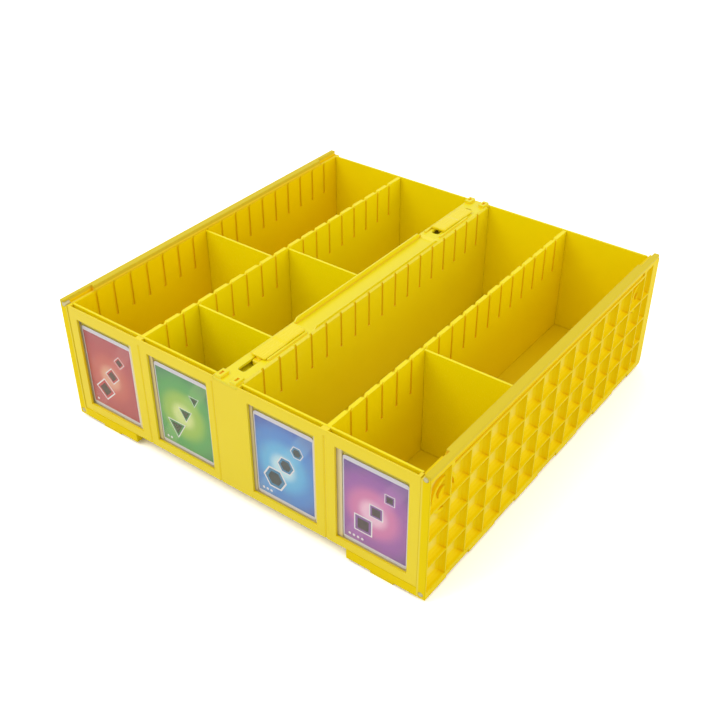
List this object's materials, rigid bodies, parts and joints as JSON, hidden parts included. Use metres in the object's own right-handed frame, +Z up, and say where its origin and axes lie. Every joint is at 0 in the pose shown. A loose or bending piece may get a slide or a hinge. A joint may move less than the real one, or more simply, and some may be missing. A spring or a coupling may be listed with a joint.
{
  "type": "card storage bin",
  "caption": "Shallow square bin with rows for upright playing cards, slotted row walls with lift-out dividers, label windows in front, waffle-ribbed sides and sliding lid latches.",
  "frame": {"origin": "on the ground under the middle of the bin, at the underside of its feet", "axes": "+Z up; +X to the right and +Y to the rear when facing the label windows, which face -Y"},
  "size_m": [0.402, 0.401, 0.1334],
  "materials": {
    "bin_yellow": "satin injection-moulded plastic",
    "pin_cream": "satin",
    "sleeve_clear": "clear rigid plastic sheet",
    "label_paper_1": "coated printed card",
    "label_paper_2": "coated printed card",
    "label_paper_3": "coated printed card",
    "label_paper_4": "coated printed card"
  },
  "bodies": {
    "bin": {"left_side_panel": "bin_yellow", "right_side_panel": "bin_yellow", "base_floor": "bin_yellow", "front_window_panel": "bin_yellow", "front_inner_wall": "bin_yellow", "rear_wall": "bin_yellow", "left_row_wall": "bin_yellow", "right_row_wall": "bin_yellow", "centre_spine": "bin_yellow", "upper_left_pin": "pin_cream", "lower_left_pin": "pin_cream", "upper_right_pin": "pin_cream", "lower_right_pin": "pin_cream"},
    "divider_1": {"divider_1": "bin_yellow"},
    "divider_2": {"divider_2": "bin_yellow"},
    "divider_3": {"divider_3": "bin_yellow"},
    "divider_4": {"divider_4": "bin_yellow"},
    "label_sleeve_1": {"label_sleeve_1": "sleeve_clear"},
    "label_card_1": {"label_card_1": "label_paper_1"},
    "label_sleeve_2": {"label_sleeve_2": "sleeve_clear"},
    "label_card_2": {"label_card_2": "label_paper_2"},
    "label_sleeve_3": {"label_sleeve_3": "sleeve_clear"},
    "label_card_3": {"label_card_3": "label_paper_3"},
    "label_sleeve_4": {"label_sleeve_4": "sleeve_clear"},
    "label_card_4": {"label_card_4": "label_paper_4"},
    "front_latch": {"front_latch_slider": "bin_yellow"},
    "rear_latch": {"rear_latch_slider": "bin_yellow"}
  },
  "joints": [
    {"name": "divider_1_lift", "type": "slide", "parent": "bin", "child": "divider_1", "axis": [0, 0, 1], "range_m": [0, 0.115]},
    {"name": "divider_2_lift", "type": "slide", "parent": "bin", "child": "divider_2", "axis": [0, 0, 1], "range_m": [0, 0.115]},
    {"name": "divider_3_lift", "type": "slide", "parent": "bin", "child": "divider_3", "axis": [0, 0, 1], "range_m": [0, 0.115]},
    {"name": "divider_4_lift", "type": "slide", "parent": "bin", "child": "divider_4", "axis": [0, 0, 1], "range_m": [0, 0.115]},
    {"name": "label_sleeve_1_lift", "type": "slide", "parent": "bin", "child": "label_sleeve_1", "axis": [0, 0, 1], "range_m": [0, 0.112]},
    {"name": "label_card_1_lift", "type": "slide", "parent": "label_sleeve_1", "child": "label_card_1", "axis": [0, 0, 1], "range_m": [0, 0.1]},
    {"name": "label_sleeve_2_lift", "type": "slide", "parent": "bin", "child": "label_sleeve_2", "axis": [0, 0, 1], "range_m": [0, 0.112]},
    {"name": "label_card_2_lift", "type": "slide", "parent": "label_sleeve_2", "child": "label_card_2", "axis": [0, 0, 1], "range_m": [0, 0.1]},
    {"name": "label_sleeve_3_lift", "type": "slide", "parent": "bin", "child": "label_sleeve_3", "axis": [0, 0, 1], "range_m": [0, 0.112]},
    {"name": "label_card_3_lift", "type": "slide", "parent": "label_sleeve_3", "child": "label_card_3", "axis": [0, 0, 1], "range_m": [0, 0.1]},
    {"name": "label_sleeve_4_lift", "type": "slide", "parent": "bin", "child": "label_sleeve_4", "axis": [0, 0, 1], "range_m": [0, 0.112]},
    {"name": "label_card_4_lift", "type": "slide", "parent": "label_sleeve_4", "child": "label_card_4", "axis": [0, 0, 1], "range_m": [0, 0.1]},
    {"name": "front_latch_slide", "type": "slide", "parent": "bin", "child": "front_latch", "axis": [0, -1, 0], "range_m": [0, 0.0168]},
    {"name": "rear_latch_slide", "type": "slide", "parent": "bin", "child": "rear_latch", "axis": [0, 1, 0], "range_m": [-0.0106, 0.001]}
  ]
}
